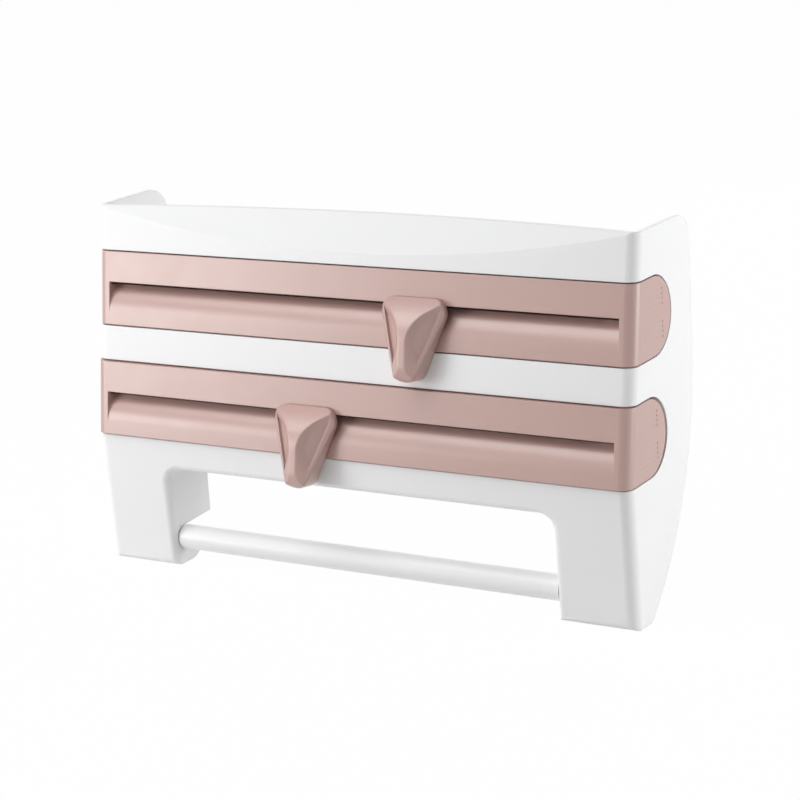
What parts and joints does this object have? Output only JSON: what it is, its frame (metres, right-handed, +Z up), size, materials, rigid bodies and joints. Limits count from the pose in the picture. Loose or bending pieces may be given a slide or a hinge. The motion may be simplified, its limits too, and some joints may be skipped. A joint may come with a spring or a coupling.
{
  "type": "kitchen roll dispenser",
  "caption": "Wall-mounted kitchen roll dispenser with an open tray on top, pull-out film drawers with sliding cutters, and a lift-out paper towel bar between the legs.",
  "frame": {"origin": "Centre of the four wall screw holes, on the plane of the wall", "axes": "X to the right seen from the front, Y from the front to the wall, Z up"},
  "size_m": [0.39, 0.1159, 0.24],
  "materials": {
    "white_plastic": "smooth moulded",
    "panel_plastic": "fine grained",
    "pink_plastic": "satin moulded",
    "knob_plastic": "satin moulded",
    "rail_plastic": "plain moulded",
    "bar_plastic": "smooth extruded",
    "screw_steel": "zinc plated",
    "blade_steel": "ground"
  },
  "bodies": {
    "body": {"housing": "white_plastic", "back_panel": "panel_plastic", "back_panel_screws": "screw_steel"},
    "upper_drawer": {"upper_drawer": "pink_plastic", "upper_cutter_rail": "rail_plastic", "upper_rail_stops": "rail_plastic", "upper_rail_screws": "screw_steel"},
    "upper_cutter": {"upper_cutter_carriage": "rail_plastic", "upper_cutter_knob": "knob_plastic", "upper_cutter_blade": "blade_steel", "upper_cutter_screw": "screw_steel"},
    "lower_drawer": {"lower_drawer": "pink_plastic", "lower_cutter_rail": "rail_plastic", "lower_rail_stops": "rail_plastic", "lower_rail_screws": "screw_steel"},
    "lower_cutter": {"lower_cutter_carriage": "rail_plastic", "lower_cutter_knob": "knob_plastic", "lower_cutter_blade": "blade_steel", "lower_cutter_screw": "screw_steel"},
    "bar_plugs": {"left_bar_plug": "bar_plastic", "right_bar_plug": "bar_plastic"},
    "towel_bar": {"towel_bar": "bar_plastic"}
  },
  "joints": [
    {"name": "upper_drawer_slide", "type": "slide", "parent": "body", "child": "upper_drawer", "axis": [0, -1, 0], "range_m": [0, 0.056]},
    {"name": "lower_drawer_slide", "type": "slide", "parent": "body", "child": "lower_drawer", "axis": [0, -1, 0], "range_m": [-0.002, 0.054]},
    {"name": "upper_cutter_slide", "type": "slide", "parent": "upper_drawer", "child": "upper_cutter", "axis": [1, 0, 0], "range_m": [-0.2075, 0.1095]},
    {"name": "lower_cutter_slide", "type": "slide", "parent": "lower_drawer", "child": "lower_cutter", "axis": [1, 0, 0], "range_m": [-0.131, 0.186]},
    {"name": "bar_lift_out", "type": "slide", "parent": "body", "child": "bar_plugs", "axis": [0, 0.9986, 0.0523], "range_m": [0, 0.044]},
    {"name": "bar_spin", "type": "hinge", "parent": "bar_plugs", "child": "towel_bar", "pos_m": [0, -0.0785, -0.165], "axis": [1, 0, 0], "continuous": true}
  ]
}
